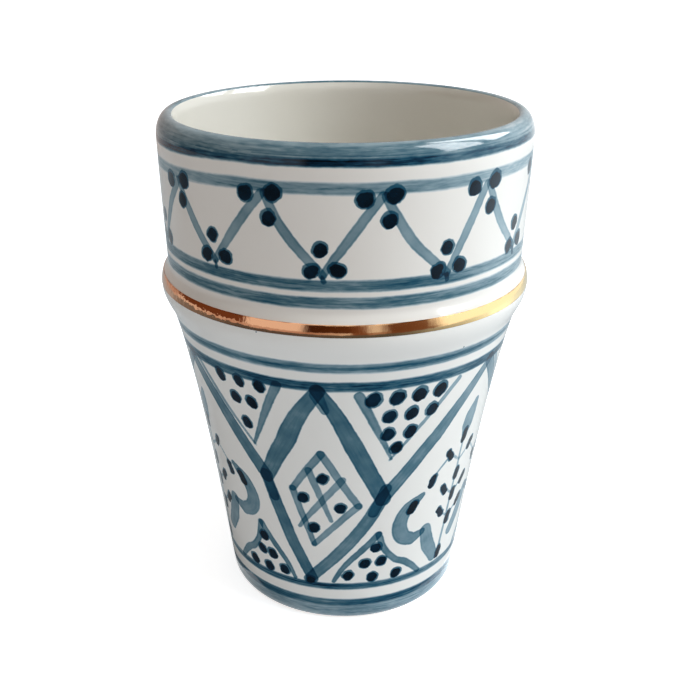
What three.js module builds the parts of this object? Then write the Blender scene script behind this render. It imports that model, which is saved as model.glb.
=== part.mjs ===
// Hand-painted ceramic tea tumbler: a cup without a handle, with a beaded collar under a straight neck,
// a thick round lip and a low foot ring. A thrown clay body carries two coats of white glaze, painted
// blue-grey bands and zigzags, and a gold ring on the collar.
// Millimetres, +Z up. The foot ring stands on Z = 0 and the cup's axis is Z.
// Angles are in degrees round the axis: 0 faces -Y, 90 faces +X.
import * as THREE from 'three';

// Outline of the glazed cup, from the lip down to the foot
const HEIGHT = 110;           // table to the crest of the lip
const RIM_RADIUS = 39.3;      // widest ring of the lip
const LIP_ROUND = 2.6;        // how far the crest lies inside the widest ring
const LIP_DEPTH = 4.5;        // height of the lip's outer round
const INNER_LIP_DEPTH = 2.5;  // height of the lip's inner round
const NECK_TAPER = 1;         // how far the neck narrows from the lip down to the collar
const NECK_RISE = 3;          // neck above the collar's crest
const NECK_FILLET = 1.5;      // hollow round between neck and collar
const COLLAR_HEIGHT = 74;     // crest of the bead above the table
const COLLAR_PROUD = 1.6;     // how far the bead stands out from the neck
const COLLAR_ROUND = 6.5;     // radius of the bead's section
const SHOULDER_DROP = 6.5;    // collar's crest down to the top of the lower wall
const SHOULDER_STEP = 0.7;    // how far the lower wall starts inside the neck
const BOW_DROP = 17.7;        // the lower wall's bend, below the shoulder
const BOW_IN = 4.9;           // the lower wall's bend, inside the shoulder
const FOOT_RADIUS = 26.8;     // lower wall at the top of the foot's round
const FOOT_ROUND = 2.2;       // width of the foot's round
const FOOT_ROUND_HEIGHT = 3;  // height of the foot's round

// Inside and underside
const WALL = 4.1;             // finished wall, glaze included
const FLOOR = 5;              // finished floor, from the recess up
const FLOOR_ROUND = 6;        // round between the floor and the inner wall
const FOOT_RING = 4.4;        // width of the unglazed ring that the cup stands on
const RECESS_DEPTH = 2.5;     // hollow under the floor, inside the foot ring
const RECESS_DRAFT = 0.6;     // slope of the hollow's edge

// Coats fired on the clay
const GLAZE = 0.4;            // thickness of the white glaze
const GLAZE_STOP = 0.5;       // the outer glaze ends this far above the table
const PAINT = 0.12;           // thickness of painted colour and of the gold
const BOND = 0.03;            // clearance between one coat and the next
const BRUSH_LIFT = 0.08;      // clearance under a brush stroke that crosses the wall

// Painted bands: a width, and a distance from the edge or ring that the painter followed
const LIP_WASH_DROP = 2.4;        // lip's wash, down from the crest outside
const LIP_WASH_INSIDE = 0.3;      // lip's wash, down from the crest inside
const RIM_LINE_WIDTH = 1.4;       // dark line under the wash
const BAND_WIDTH = 2.2;           // each ordinary band
const FRIEZE_TOP_DROP = 6.6;      // crest down to the frieze's top band
const FRIEZE_BASE_RISE = 2.4;     // neck up to the lower of the frieze's two base bands
const BAND_PAIR_GAP = 1.2;        // white line between those two
const GOLD_WIDTH = 2.3;           // gold ring
const GOLD_RISE = 0.2;            // collar's crest up to the gold ring
const SHOULDER_BAND_RISE = 0.4;   // shoulder up to the top of the first band under the collar
const SHOULDER_BAND_GAP = 2.2;    // white line between the two bands there
const FOOT_BAND_TOP = 6;          // top of the wide band round the foot
const FOOT_LINE_GAP = 3;          // white line above it
const FOOT_LINE_WIDTH = 1.7;      // thin line that closes the panel

// Painted zigzags
const FRIEZE_REPEATS = 11;        // zigzags round the neck
const FRIEZE_PHASE = 9.5;         // angle of one upper point of the frieze
const FRIEZE_STROKE = 3;          // height of a frieze stroke, measured up the wall
const LOZENGES = 3;               // lozenge panels round the lower wall, with tent panels between them
const LOZENGE_PHASE = -8;         // angle of one lozenge's middle
const LOZENGE_HALF_ANGLE = 22.5;  // from a lozenge's middle to its side point
const LOZENGE_STROKE = 5;         // height of a lozenge stroke, measured up the wall
const LOZENGE_SIDE = 25;          // lozenge's side points, above the thin line at the foot
const STROKE_GAP = 0.4;           // white between a stroke and the band or stroke next to it

// Fineness of the surfaces
const SEGMENTS = 36;
const LOWER_WALL_STEPS = 5;
const ROUND_STEPS = 4;
const STROKE_BEND_ANGLE = 6;  // a brush stroke bends with the wall at least this often

const { degToRad, lerp } = THREE.MathUtils;
const point = (radius, z) => new THREE.Vector2(radius, z);

const crestRadius = RIM_RADIUS - LIP_ROUND;
const neckRadius = RIM_RADIUS - NECK_TAPER;
const lipBase = HEIGHT - LIP_DEPTH;
const neckHeight = COLLAR_HEIGHT + NECK_RISE;
const shoulder = point(neckRadius - SHOULDER_STEP, COLLAR_HEIGHT - SHOULDER_DROP);
const bow = point(shoulder.x - BOW_IN, shoulder.y - BOW_DROP);
const footFlat = FOOT_RADIUS - FOOT_ROUND;
const recessRadius = footFlat - FOOT_RING;
const floorHeight = RECESS_DEPTH + FLOOR;

// Radius of the lower wall's curve, a parabola from the foot to the shoulder bent towards the bow point.
function lowerWall(z) {
  const a = FOOT_ROUND_HEIGHT - 2 * bow.y + shoulder.y;
  const b = 2 * (bow.y - FOOT_ROUND_HEIGHT);
  const c = FOOT_ROUND_HEIGHT - z;
  const t = 2 * c / (-b - Math.sqrt(b * b - 4 * a * c));
  return (1 - t) ** 2 * FOOT_RADIUS + 2 * t * (1 - t) * bow.x + t * t * shoulder.x;
}

// Points up or down the lower wall, moved sideways by inset.
function lowerWallPoints(fromZ, toZ, inset) {
  return Array.from({ length: LOWER_WALL_STEPS + 1 }, (_, i) => {
    const z = lerp(fromZ, toZ, i / LOWER_WALL_STEPS);
    return point(lowerWall(z) - inset, z);
  });
}

function round(x, y, radiusX, radiusY, from, to) {
  return new THREE.EllipseCurve(x, y, radiusX, radiusY, from, to, from > to).getPoints(ROUND_STEPS);
}

// Bead of the collar: an arc that the shoulder's slope runs into, and a hollow fillet up to the neck.
function collarPoints() {
  const centre = point(neckRadius + COLLAR_PROUD - COLLAR_ROUND, COLLAR_HEIGHT);
  const toShoulder = shoulder.clone().sub(centre);
  const tangent = toShoulder.angle() - 2 * Math.PI + Math.acos(COLLAR_ROUND / toShoulder.length());
  const wall = point(NECK_TAPER, lipBase - neckHeight).normalize();
  const outward = point(wall.y, -wall.x);
  const reach = COLLAR_ROUND + NECK_FILLET;
  const offset = centre.clone().sub(point(neckRadius, neckHeight)).dot(outward);
  const facing = Math.atan2(outward.y, outward.x);
  const meet = facing + Math.acos((NECK_FILLET - offset) / reach);
  const hollow = point(reach * Math.cos(meet), reach * Math.sin(meet)).add(centre);
  return [
    ...round(centre.x, centre.y, COLLAR_ROUND, COLLAR_ROUND, tangent, meet),
    ...round(hollow.x, hollow.y, NECK_FILLET, NECK_FILLET, meet + Math.PI, facing + Math.PI).slice(1),
  ];
}

// Outside of the glazed cup, from the edge of the glaze at the foot up to the lip's crest.
function outsideLine() {
  const stop = Math.asin(GLAZE_STOP / FOOT_ROUND_HEIGHT - 1);
  return [
    ...round(footFlat, FOOT_ROUND_HEIGHT, FOOT_ROUND, FOOT_ROUND_HEIGHT, stop, 0),
    ...lowerWallPoints(FOOT_ROUND_HEIGHT, shoulder.y, 0).slice(1),
    ...collarPoints(),
    ...round(crestRadius, lipBase, LIP_ROUND, LIP_DEPTH, 0, Math.PI / 2),
  ];
}

// Inside of the glazed cup, from the crest down to the middle of the floor.
function insideLine() {
  const lipInside = HEIGHT - INNER_LIP_DEPTH;
  const innerRim = RIM_RADIUS - WALL;
  const floorEdge = floorHeight + FLOOR_ROUND;
  const roundMiddle = lowerWall(floorEdge) - WALL - FLOOR_ROUND;
  return [
    ...round(crestRadius, lipInside, crestRadius - innerRim, INNER_LIP_DEPTH, Math.PI / 2, Math.PI),
    point(neckRadius - WALL, neckHeight),
    ...lowerWallPoints(shoulder.y, floorEdge, WALL),
    ...round(roundMiddle, floorEdge, FLOOR_ROUND, FLOOR_ROUND, 0, -Math.PI / 2).slice(1),
    point(0, floorHeight),
  ];
}

// Line moved sideways, out of the clay where distance is above zero.
function offsetLine(line, distance) {
  const normals = line.slice(1).map((p, i) => {
    const along = p.clone().sub(line[i]).normalize();
    return point(along.y, -along.x);
  });
  return line.map((p, i) => {
    const before = normals[Math.max(i - 1, 0)];
    const after = normals[Math.min(i, normals.length - 1)];
    const middle = before.clone().add(after).normalize();
    return p.clone().addScaledVector(middle, distance / middle.dot(after));
  });
}

// Stretch of a line between two heights, for a line that only climbs or only falls.
function stretch(line, fromZ, toZ) {
  const at = (z) => {
    const i = line.findIndex((p, k) => k > 0 && (p.y - z) * (line[k - 1].y - z) <= 0);
    const [a, b] = [line[i - 1], line[i]];
    return a.clone().lerp(b, (z - a.y) / (b.y - a.y));
  };
  const low = Math.min(fromZ, toZ);
  const high = Math.max(fromZ, toZ);
  return [at(fromZ), ...line.filter((p) => p.y > low && p.y < high), at(toZ)];
}

const outside = outsideLine();
const inside = insideLine();
const skin = [...outside, ...inside.slice(1)];
const underGlaze = offsetLine(skin, -GLAZE);
const crest = outside.length - 1;

// Solid of revolution about Z. The profile runs anticlockwise, with the axis on its left.
function revolve(profile) {
  return new THREE.LatheGeometry(profile, SEGMENTS).rotateX(Math.PI / 2);
}

// Ring of colour laid on a stretch of the glaze.
function paintRing(line) {
  const outer = offsetLine(line, BOND + PAINT);
  return revolve([...outer, ...offsetLine(line, BOND).reverse(), outer[0]]);
}

function band(lowZ, width) {
  return paintRing(stretch(outside, lowZ, lowZ + width));
}

function clayBody() {
  return revolve([
    point(0, RECESS_DEPTH),
    point(recessRadius - RECESS_DRAFT, RECESS_DEPTH),
    point(recessRadius, 0),
    point(footFlat, 0),
    ...offsetLine(skin, -GLAZE - BOND),
  ]);
}

// The glaze dipped on the outside and the glaze poured inside meet at the lip's crest.
function outerGlaze() {
  return revolve([...outside, ...underGlaze.slice(0, crest + 1).reverse(), outside[0]]);
}

function innerGlaze() {
  const fromCrest = ([first, ...rest]) => [first.clone().sub(point(BOND, 0)), ...rest];
  return revolve([...fromCrest(underGlaze.slice(crest)).reverse(), ...fromCrest(inside)]);
}

function baseGlaze() {
  const top = RECESS_DEPTH - BOND;
  const radius = recessRadius - RECESS_DRAFT;
  return revolve([point(0, top - GLAZE), point(radius, top - GLAZE), point(radius, top), point(0, top)]);
}

function lipWash() {
  const outer = stretch(outside, HEIGHT - LIP_WASH_DROP, HEIGHT);
  const inner = stretch(inside, HEIGHT, HEIGHT - LIP_WASH_INSIDE);
  return paintRing([...outer, ...inner.slice(1)]);
}

// Corner of a brush stroke on the wall.
function onWall(angle, z, lift) {
  const radius = stretch(outside, z, z)[0].x + lift;
  const turn = degToRad(angle);
  return [radius * Math.sin(turn), -radius * Math.cos(turn), z];
}

// Brush stroke that follows [angle, height] corners round the wall, as tall as rise.
function stroke(corners, rise, closed) {
  const stations = corners.slice(1).flatMap(([angle, z], i) => {
    const [fromAngle, fromZ] = corners[i];
    const steps = Math.ceil(Math.abs(angle - fromAngle) / STROKE_BEND_ANGLE);
    return Array.from({ length: steps }, (_, k) => {
      return [lerp(fromAngle, angle, k / steps), lerp(fromZ, z, k / steps)];
    });
  });
  if (!closed) stations.push(corners.at(-1));
  const vertices = stations.flatMap(([angle, z]) => [
    onWall(angle, z - rise / 2, BRUSH_LIFT),
    onWall(angle, z + rise / 2, BRUSH_LIFT),
    onWall(angle, z + rise / 2, BRUSH_LIFT + PAINT),
    onWall(angle, z - rise / 2, BRUSH_LIFT + PAINT),
  ]);
  const faces = [];
  const legs = closed ? stations.length : stations.length - 1;
  for (let i = 0; i < legs; i++) {
    const next = (i + 1) % stations.length;
    for (let side = 0; side < 4; side++) {
      const [a, b] = [4 * i + side, 4 * i + (side + 1) % 4];
      const [c, d] = [4 * next + side, 4 * next + (side + 1) % 4];
      faces.push(a, b, d, a, d, c);
    }
  }
  if (!closed) {
    const last = 4 * legs;
    faces.push(0, 3, 2, 0, 2, 1, last, last + 1, last + 2, last, last + 2, last + 3);
  }
  const geometry = new THREE.BufferGeometry();
  geometry.setAttribute('position', new THREE.Float32BufferAttribute(vertices.flat(), 3));
  geometry.setIndex(faces);
  geometry.computeVertexNormals();
  return geometry;
}

// Heights that the bands and strokes share
const rimLineTop = HEIGHT - LIP_WASH_DROP - BOND;
const friezeTop = HEIGHT - FRIEZE_TOP_DROP - BAND_WIDTH;
const friezeBaseLower = neckHeight + FRIEZE_BASE_RISE;
const friezeBaseUpper = friezeBaseLower + BAND_WIDTH + BAND_PAIR_GAP;
const shoulderUpper = shoulder.y + SHOULDER_BAND_RISE - BAND_WIDTH;
const shoulderLower = shoulderUpper - SHOULDER_BAND_GAP - BAND_WIDTH;
const footLine = FOOT_BAND_TOP + FOOT_LINE_GAP;
const panelBase = footLine + FOOT_LINE_WIDTH;
const lozengeSide = panelBase + LOZENGE_SIDE;

function friezeZigzag() {
  const high = friezeTop - STROKE_GAP - FRIEZE_STROKE / 2;
  const low = friezeBaseUpper + BAND_WIDTH + STROKE_GAP + FRIEZE_STROKE / 2;
  const corners = Array.from({ length: 2 * FRIEZE_REPEATS + 1 }, (_, i) => {
    return [FRIEZE_PHASE + 180 * i / FRIEZE_REPEATS, i % 2 ? low : high];
  });
  return stroke(corners, FRIEZE_STROKE, true);
}

// Upper points of the lozenges and of the tents between them, one zigzag round the cup.
function lozengeZigzag() {
  const high = shoulderLower - STROKE_GAP - LOZENGE_STROKE / 2;
  const pitch = 360 / LOZENGES;
  const corners = Array.from({ length: LOZENGES }, (_, i) => {
    const middle = LOZENGE_PHASE + pitch * i;
    return [
      [middle, high],
      [middle + LOZENGE_HALF_ANGLE, lozengeSide],
      [middle + pitch / 2, high],
      [middle + pitch - LOZENGE_HALF_ANGLE, lozengeSide],
    ];
  }).flat();
  return stroke([...corners, [LOZENGE_PHASE + 360, high]], LOZENGE_STROKE, true);
}

// Lower point of one lozenge, a V that hangs from its two side points.
function lozengePoint(index) {
  const middle = LOZENGE_PHASE + 360 / LOZENGES * index;
  const high = lozengeSide - LOZENGE_STROKE - STROKE_GAP;
  const low = panelBase + STROKE_GAP + LOZENGE_STROKE / 2;
  const corners = [[middle - LOZENGE_HALF_ANGLE, high], [middle, low], [middle + LOZENGE_HALF_ANGLE, high]];
  return stroke(corners, LOZENGE_STROKE, false);
}

const clay = { color: '#d8c2a4', roughness: 0.9, metalness: 0 };
const whiteGlaze = { color: '#efeeea', roughness: 0.15, metalness: 0 };
const blueWash = { color: '#5f7c8e', roughness: 0.2, metalness: 0 };
const darkBlue = { color: '#17384c', roughness: 0.2, metalness: 0 };
const goldLustre = { color: '#d7a35a', roughness: 0.15, metalness: 1 };

const tumbler = new THREE.Group();

function add(name, geometry, finish) {
  const mesh = new THREE.Mesh(geometry, new THREE.MeshStandardMaterial(finish));
  mesh.name = name;
  tumbler.add(mesh);
}

add('clay_body', clayBody(), clay);
add('outer_glaze', outerGlaze(), whiteGlaze);
add('inner_glaze', innerGlaze(), whiteGlaze);
add('base_glaze', baseGlaze(), whiteGlaze);
add('lip_wash', lipWash(), blueWash);
add('rim_line', band(rimLineTop - RIM_LINE_WIDTH, RIM_LINE_WIDTH), darkBlue);
add('frieze_top_band', band(friezeTop, BAND_WIDTH), blueWash);
add('frieze_zigzag', friezeZigzag(), blueWash);
add('frieze_base_band_upper', band(friezeBaseUpper, BAND_WIDTH), blueWash);
add('frieze_base_band_lower', band(friezeBaseLower, BAND_WIDTH), blueWash);
add('gold_ring', band(COLLAR_HEIGHT + GOLD_RISE, GOLD_WIDTH), goldLustre);
add('shoulder_band_upper', band(shoulderUpper, BAND_WIDTH), blueWash);
add('shoulder_band_lower', band(shoulderLower, BAND_WIDTH), blueWash);
add('lozenge_zigzag', lozengeZigzag(), blueWash);
for (let i = 0; i < LOZENGES; i++) {
  add(`lozenge_point_${i + 1}`, lozengePoint(i), blueWash);
}
add('foot_line', band(footLine, FOOT_LINE_WIDTH), darkBlue);
add('foot_band', band(GLAZE_STOP + BOND, FOOT_BAND_TOP - GLAZE_STOP - BOND), blueWash);

export default tumbler;
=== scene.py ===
# %% [markdown]
# # A hand-painted tea tumbler
# The tumbler is one piece of fired earthenware with a white glaze, and its pattern was brushed on by
# hand before the last firing. The imported solids come first, because they say where everything sits.

# %% Load the imported solids
import math

import bmesh
import bpy
import numpy as np
from mathutils import Matrix, Vector


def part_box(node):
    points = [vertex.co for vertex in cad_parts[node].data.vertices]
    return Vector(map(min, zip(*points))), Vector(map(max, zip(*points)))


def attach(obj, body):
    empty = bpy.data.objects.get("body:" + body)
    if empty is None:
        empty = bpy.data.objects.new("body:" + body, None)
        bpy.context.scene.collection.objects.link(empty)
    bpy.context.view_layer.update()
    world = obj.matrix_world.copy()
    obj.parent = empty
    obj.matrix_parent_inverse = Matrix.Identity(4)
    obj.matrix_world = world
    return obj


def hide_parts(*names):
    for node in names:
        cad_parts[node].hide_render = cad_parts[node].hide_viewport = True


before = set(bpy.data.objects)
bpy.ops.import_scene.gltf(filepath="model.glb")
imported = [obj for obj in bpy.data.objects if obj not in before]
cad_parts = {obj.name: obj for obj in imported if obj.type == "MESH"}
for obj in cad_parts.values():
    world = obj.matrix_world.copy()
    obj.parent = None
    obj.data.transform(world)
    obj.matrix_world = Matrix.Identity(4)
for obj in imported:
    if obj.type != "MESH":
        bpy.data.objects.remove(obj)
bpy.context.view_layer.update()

# %% [markdown]
# ## Camera
# The cup is seen from a little above, close enough for the foot to look much narrower than the rim.
# A camera could be aimed by eye, but the ellipses of the rim, the bands and the foot fix it: its place,
# its pitch and a hair of roll. The photograph is a crop, so the lens axis isn't in the middle of the
# picture, and a small shift takes care of that.

# %% Camera
IMAGE = 700                        # pixels
FOCAL = 1028.36                    # pixels
AXIS = (315, 335)                  # pixel that the lens axis meets
STAND = (0, -0.21668, 0.14732)     # metres
PITCH, YAW, ROLL = (math.radians(a) for a in (22.289, -1.712, 0.386))


def in_scene(name, data):
    """A new object with this data, linked to the scene."""
    made = bpy.data.objects.new(name, data)
    bpy.context.scene.collection.objects.link(made)
    return made


ahead = Vector((math.sin(YAW) * math.cos(PITCH), math.cos(YAW) * math.cos(PITCH), -math.sin(PITCH)))
level = ahead.cross(Vector((0, 0, 1))).normalized()
right = math.cos(ROLL) * level + math.sin(ROLL) * ahead.cross(level)
up = right.cross(ahead)

lens = bpy.data.cameras.new("camera")
lens.sensor_width = 36
lens.lens = FOCAL / IMAGE * lens.sensor_width
lens.shift_x = (IMAGE / 2 - AXIS[0]) / IMAGE
lens.shift_y = (AXIS[1] - IMAGE / 2) / IMAGE
camera = in_scene("camera", lens)
place = Matrix((right, up, -ahead)).transposed().to_4x4()
place.translation = Vector(STAND)
camera.matrix_world = place
bpy.context.scene.camera = camera
bpy.context.scene.view_settings.view_transform = "Standard"
print("lens in mm:", round(lens.lens, 2), "shift:", round(lens.shift_x, 3), round(lens.shift_y, 3))

# %% [markdown]
# ## The potter's profile
# Everything on the cup was turned on a wheel, so one outline describes each coat. The numbers could be
# typed in again, but then a change of the solids would be missed. The outline is read off the solid's
# own corners in the half-plane that faces the camera, where each edge of the mesh is a side of the outline.

# %% Read an outline off a solid
HAIR = 1e-6    # metres


def outline_of(node):
    """Corners (radius, height) in mm of the node's section, in order, from its lowest or axis end."""
    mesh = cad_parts[node].data
    corner = [(round(-v.co.y * 1000, 3), round(v.co.z * 1000, 3)) for v in mesh.vertices]
    in_front = [abs(v.co.x) < HAIR and v.co.y < HAIR for v in mesh.vertices]
    joined = {}
    for i, j in (edge.vertices for edge in mesh.edges):
        if in_front[i] and in_front[j] and corner[i] != corner[j]:
            joined.setdefault(corner[i], set()).add(corner[j])
            joined.setdefault(corner[j], set()).add(corner[i])
    line = [min(joined, key=lambda c: (len(joined[c]), c[1], -c[0]))]
    while True:
        onward = sorted(c for c in joined[line[-1]] if c not in line)
        if not onward:
            return line
        line.append(onward[-1])


outer_section = outline_of("outer_glaze")
inner_section = outline_of("inner_glaze")
crest = max(range(len(outer_section)), key=lambda i: outer_section[i][1])
inner_crest = max(range(len(inner_section)), key=lambda i: inner_section[i][1])
skin_corners = outer_section[:crest + 1] + inner_section[inner_crest + 1:]
print("skin corners from foot to floor:", len(skin_corners), "crest at", outer_section[crest])

# %% [markdown]
# ## Rounding the profile
# The solids have few corners, so that they stay light. A wet sponge left the real wall without any, so a
# smooth curve runs through them. A subdivision surface would pull the wall away from the corners. A
# Hermite curve passes through each one, and its direction there follows the longer side, which keeps the
# straight neck straight. Only a turn over 40 degrees stays sharp.

# %% Round the outline
SHARP_TURN = math.radians(40)


def smooth_line(corners, step):
    """A curve through the corners, with a point about every step mm."""
    corners = np.array(corners, float)
    legs = np.diff(corners, axis=0)
    lengths = np.linalg.norm(legs, axis=1)
    leaving = legs / lengths[:, None]
    arriving = leaving.copy()
    for i in range(1, len(legs)):
        if arriving[i - 1] @ leaving[i] > math.cos(SHARP_TURN):
            across = legs[i - 1] + legs[i]
            leaving[i] = arriving[i - 1] = across / np.linalg.norm(across)
    line = [corners[:1]]
    for i, length in enumerate(lengths):
        count = max(1, round(length / step))
        t = np.arange(1, count + 1)[:, None] / count
        line.append(
            corners[i] * (2 * t**3 - 3 * t**2 + 1)
            + leaving[i] * length * (t**3 - 2 * t**2 + t)
            + corners[i + 1] * (3 * t**2 - 2 * t**3)
            + arriving[i] * length * (t**3 - t**2)
        )
    return np.concatenate(line)


def lengths_along(line):
    return np.concatenate([[0], np.cumsum(np.linalg.norm(np.diff(line, axis=0), axis=1))])


skin = smooth_line(skin_corners, 0.1)
skin_run = lengths_along(skin)
crest_index = int(np.argmax(skin[:, 1]))
crest_height = skin[crest_index, 1]
print("skin points:", len(skin), "length in mm:", round(skin_run[-1], 1))

# %% [markdown]
# ## Stretches of the profile
# Each coat covers a stretch of the same skin: the neck with the lip, the wall below, and the inside. A
# coat is a thin closed solid, so its section goes along the skin and comes back a little deeper. The
# side that shows gets close rows of points, because the paint is drawn on them, and the back gets few.

# %% Cut a coat's section from the skin
SPLIT = 75.35        # height in mm of the seam between neck and wall, under the gold
WASH_PAST = 0.8      # mm that the lip's wash runs over the crest, to the inside


def run_at(height):
    """How far along the skin the outside reaches this height."""
    return np.interp(height, skin[:crest_index + 1, 1], skin_run[:crest_index + 1])


def radius_at(height):
    return np.interp(height, skin[:crest_index + 1, 1], skin[:crest_index + 1, 0])


def stretch(start, end, step):
    """Points on the skin between two lengths along it."""
    at = np.linspace(start, end, max(2, round(abs(end - start) / step) + 1))
    return np.column_stack([np.interp(at, skin_run, skin[:, i]) for i in (0, 1)])


def raised(line, rise):
    """The line moved away from the clay, to its right as it climbs the outside."""
    along = np.gradient(line, axis=0)
    along /= np.linalg.norm(along, axis=1)[:, None]
    moved = line + rise * np.column_stack([along[:, 1], -along[:, 0]])
    return np.column_stack([np.maximum(moved[:, 0], 0), moved[:, 1]])


def coat_section(start, end, step, rise=0.0, depth=0.35, back_step=3.0):
    """A closed section: along the skin at rise, and back at depth below it."""
    return raised(stretch(start, end, step), rise), raised(stretch(start, end, back_step), -depth)[::-1]


WASH_END = skin_run[crest_index] + WASH_PAST
print("neck coat in mm:", round(WASH_END - run_at(SPLIT), 1), "wall coat:", round(run_at(SPLIT), 1))

# %% [markdown]
# ## A helper for node trees
# Both Geometry Nodes and materials are built in code. One small function adds a node, gives it its
# settings and feeds its inputs. A feed is a number, a colour, another node or one of its sockets. The
# kinds of node that come up again and again get a short name of their own, so that a sum reads like a sum.

# %% Add a node
def in_use(sockets, key):
    """The socket of that name or number, among those that the node's settings leave in use."""
    return sockets[key] if isinstance(key, int) else next(s for s in sockets if s.name == key and s.enabled)


def add(tree, kind, settings=None, feeds=None):
    node = tree.nodes.new(kind)
    for name, value in (settings or {}).items():
        setattr(node, name, value)
    for key, value in (feeds or {}).items():
        if isinstance(value, bpy.types.Node):
            value = next(s for s in value.outputs if s.enabled)
        if isinstance(value, bpy.types.NodeSocket):
            tree.links.new(value, in_use(node.inputs, key))
        else:
            in_use(node.inputs, key).default_value = value
    return node


# %% Short names for the usual nodes
def calc(tree, operation, *feeds):
    return add(tree, "ShaderNodeMath", {"operation": operation}, dict(enumerate(feeds)))


def calc_vector(tree, operation, *feeds):
    return add(tree, "ShaderNodeVectorMath", {"operation": operation}, dict(enumerate(feeds)))


def ranged(tree, value, low, high, at_low, at_high, **settings):
    """The value, mapped from low and high to two others and held between them."""
    return add(tree, "ShaderNodeMapRange", settings, {0: value, 1: low, 2: high, 3: at_low, 4: at_high})


def noise(tree, place, size, detail, seed=None):
    """Blotches of about that size, in the units of the place."""
    made = add(tree, "ShaderNodeTexNoise", {"noise_dimensions": "3D" if seed is None else "4D"}, {
        "Vector": place, "Scale": 1 / size, "Detail": detail})
    if seed is not None:
        tree.links.new(seed, made.inputs["W"])
    return made


def parts_of(tree, vector):
    return add(tree, "ShaderNodeSeparateXYZ", feeds={0: vector}).outputs


def vector_of(tree, **parts):
    return add(tree, "ShaderNodeCombineXYZ", feeds=parts)


print("short names for nodes:", [f.__name__ for f in (calc, calc_vector, ranged, noise, parts_of, vector_of)])

# %% [markdown]
# ## Geometry Nodes trees
# A tree gets named inputs, so that one tree serves many pieces. It reads and writes notes on the points,
# such as a brush's width, and ends by making its copies real and giving them their material.

# %% Begin and end a tree
def begin_tree(name, inputs):
    """A Geometry Nodes tree with these inputs, each with its kind of socket and its usual value."""
    tree = bpy.data.node_groups.new(name, "GeometryNodeTree")
    tree.interface.new_socket("Geometry", in_out="INPUT", socket_type="NodeSocketGeometry")
    tree.interface.new_socket("Geometry", in_out="OUTPUT", socket_type="NodeSocketGeometry")
    for title, (kind, value) in inputs.items():
        made = tree.interface.new_socket(title, in_out="INPUT", socket_type="NodeSocket" + kind)
        if value is not None:
            made.default_value = value
    return tree, add(tree, "NodeGroupInput").outputs


def end_tree(tree, geometry, material):
    whole = add(tree, "GeometryNodeRealizeInstances", feeds={"Geometry": geometry})
    dressed = add(tree, "GeometryNodeSetMaterial", feeds={"Geometry": whole, "Material": material})
    add(tree, "NodeGroupOutput", feeds={"Geometry": dressed})
    print("tree:", tree.name, "nodes:", len(tree.nodes))


# %% Notes on the points
def noted(tree, kind, name):
    return add(tree, "GeometryNodeInputNamedAttribute", {"data_type": kind}, {"Name": name})


def sampled(tree, kind, geometry, value, index):
    return add(tree, "GeometryNodeSampleIndex", {"data_type": kind, "domain": "POINT"}, {
        "Geometry": geometry, "Value": value, "Index": index})


def written(tree, kind, domain, geometry, name, value):
    return add(tree, "GeometryNodeStoreNamedAttribute", {"data_type": kind, "domain": domain}, {
        "Geometry": geometry, "Name": name, "Value": value})


print("helpers for trees:", [f.__name__ for f in (begin_tree, end_tree, noted, sampled, written)])

# %% [markdown]
# ## Turning a coat on the wheel
# A Screw modifier could spin the outline, but it gives no hold on the tiny unevenness of a hand-thrown
# wall. This tree lays a grid round the axis instead, one column for each step of the wheel and one row
# for each point of the outline. A slow noise pushes the wall in and out by a tenth of a millimetre, and
# it is the same noise for every coat, so they stay together. The grid's own sheet becomes the UV map.

# %% Tree: turned coat, a sheet with a row for each point
wheel, given = begin_tree("turned coat", {
    "Segments": ("Int", 360), "Wobble": ("Float", 0.0001), "Drift": ("Float", 0.0), "Seed": ("Int", 4),
    "Material": ("Material", None),
})
here = add(wheel, "GeometryNodeInputPosition")
rows = add(wheel, "GeometryNodeAttributeDomainSize", feeds={"Geometry": given["Geometry"]})
rows = rows.outputs["Point Count"]
sheet = add(wheel, "GeometryNodeMeshGrid", feeds={
    "Size X": 1.0, "Size Y": 1.0, "Vertices X": calc(wheel, "ADD", given["Segments"], 1), "Vertices Y": rows})
cell = parts_of(wheel, here)
around = calc(wheel, "ADD", cell["X"], 0.5)
down = calc(wheel, "ADD", cell["Y"], 0.5)
row = calc(wheel, "ROUND", calc(wheel, "MULTIPLY", down, calc(wheel, "SUBTRACT", rows, 1)))
spot = parts_of(wheel, sampled(wheel, "FLOAT_VECTOR", given["Geometry"], here, row))
strip = sampled(wheel, "FLOAT", given["Geometry"], noted(wheel, "FLOAT", "strip"), row)
charted = written(wheel, "FLOAT2", "CORNER", in_use(sheet.outputs, "Mesh"), "OFBake",
                  vector_of(wheel, X=around, Y=strip))
print("nodes for the sheet:", len(wheel.nodes))

# %% Tree: turned coat, bent round the axis
angle = calc(wheel, "MULTIPLY", around, 2 * math.pi)
north = calc(wheel, "MULTIPLY", calc(wheel, "COSINE", angle), -1)
outward = vector_of(wheel, X=calc(wheel, "SINE", angle), Y=north)
true_place = calc_vector(wheel, "MULTIPLY_ADD", outward, spot["X"], vector_of(wheel, Z=spot["Z"]))
swing = ranged(wheel, noise(wheel, true_place, 0.035, 1.0, given["Seed"]), 0, 1, -1, 1)
off_axis = ranged(wheel, spot["X"], 0, 0.01, 0, 1)
swing = calc(wheel, "MULTIPLY", swing, off_axis)
push = calc(wheel, "MULTIPLY", swing, given["Wobble"])
lift = vector_of(wheel, Z=calc(wheel, "MULTIPLY", swing, given["Drift"]))
moved = calc_vector(wheel, "MULTIPLY_ADD", outward, push, lift)
thrown = calc_vector(wheel, "ADD", true_place, moved)
bent = add(wheel, "GeometryNodeSetPosition", feeds={"Geometry": charted, "Position": thrown})
closed = add(wheel, "GeometryNodeMergeByDistance", feeds={"Geometry": bent, "Distance": HAIR})
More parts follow.
